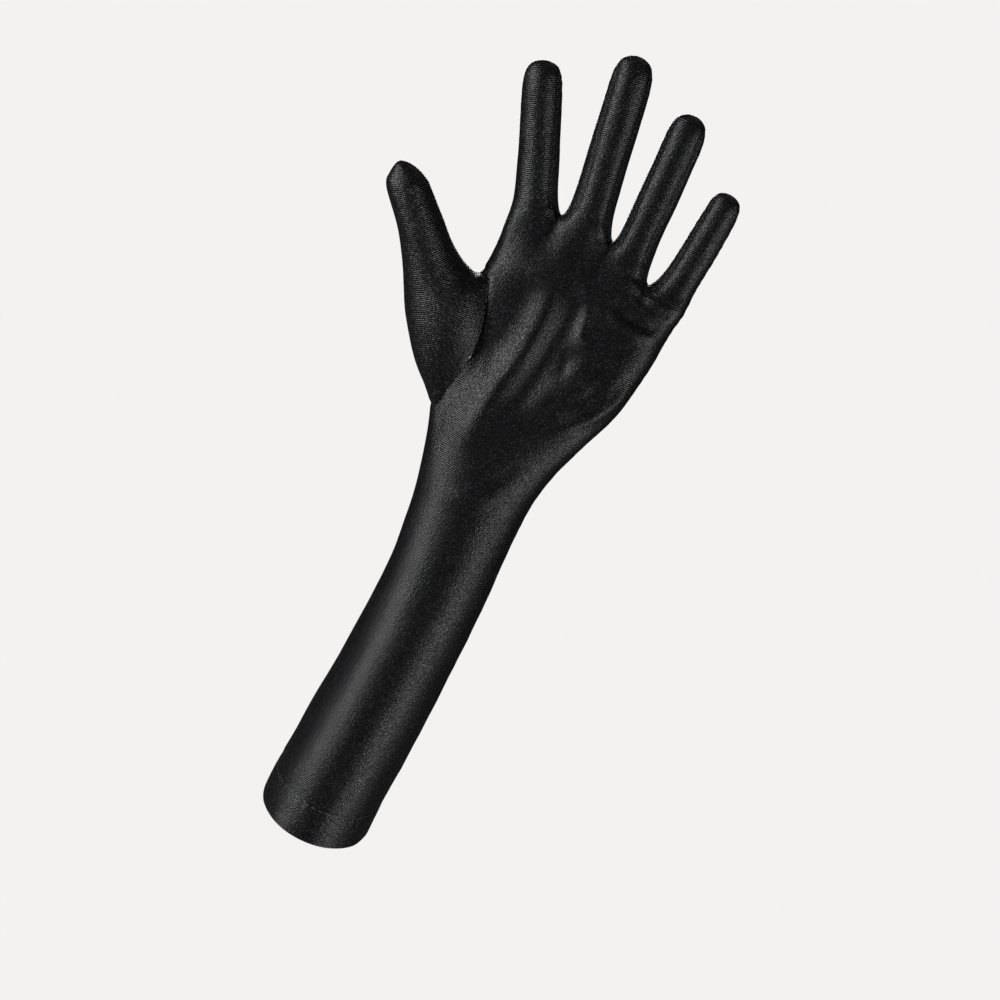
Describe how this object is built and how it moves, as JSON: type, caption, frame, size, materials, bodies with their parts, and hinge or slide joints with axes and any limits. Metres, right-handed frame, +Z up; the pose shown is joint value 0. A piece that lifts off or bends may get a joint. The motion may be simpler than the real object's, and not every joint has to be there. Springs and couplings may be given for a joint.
{
  "type": "dress glove",
  "caption": "Long dress glove for the left hand in black stretch satin, with a set-in thumb, side strips between the fingers and a stitched hem at the cuff",
  "frame": {"origin": "middle of the open cuff, where the arm goes in", "axes": "+Z up along the forearm from the cuff to the fingertips, palm towards -Y, thumb towards -X"},
  "size_m": [0.1337, 0.0666, 0.3504],
  "materials": {
    "satin": "satin"
  },
  "bodies": {
    "root": {"glove_body": "satin", "thumb": "satin", "fourchette_index_middle": "satin", "fourchette_middle_ring": "satin", "fourchette_ring_little": "satin", "cuff_hem": "satin"}
  },
  "joints": []
}
